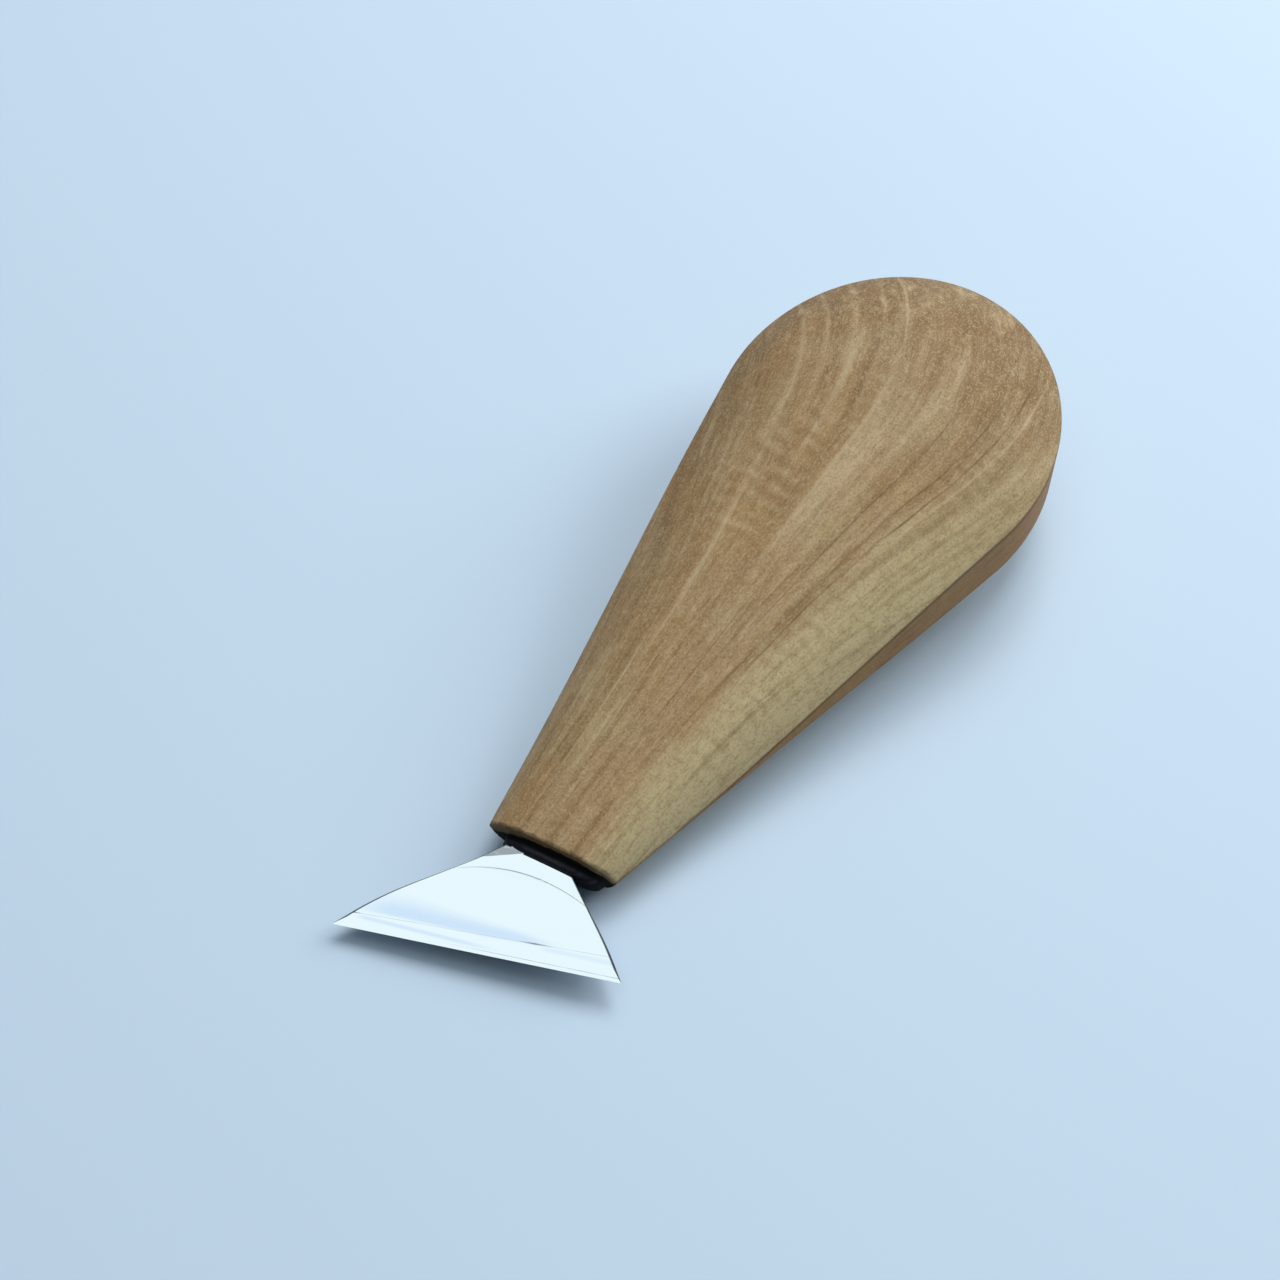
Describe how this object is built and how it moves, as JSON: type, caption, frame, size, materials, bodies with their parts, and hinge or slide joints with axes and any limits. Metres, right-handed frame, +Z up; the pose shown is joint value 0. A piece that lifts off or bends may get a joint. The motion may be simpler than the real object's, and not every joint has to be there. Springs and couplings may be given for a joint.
{
  "type": "palm chip-carving knife",
  "caption": "Palm-held chip-carving knife: teardrop hardwood handle with a short polished skew blade whose tang is bedded in the handle's front end.",
  "frame": {"origin": "on the table, under the middle of the knife's box as it lies on its belly", "axes": "+X from the blade to the butt, +Y to the side of the blade's long point, +Z up"},
  "size_m": [0.1144, 0.0428, 0.0225],
  "materials": {
    "oiled_wood": "satin oil",
    "polished_steel": "mirror polished",
    "black_bedding": "cured black adhesive"
  },
  "bodies": {
    "root": {"handle": "oiled_wood", "blade": "polished_steel", "tang_bedding": "black_bedding"}
  },
  "joints": []
}
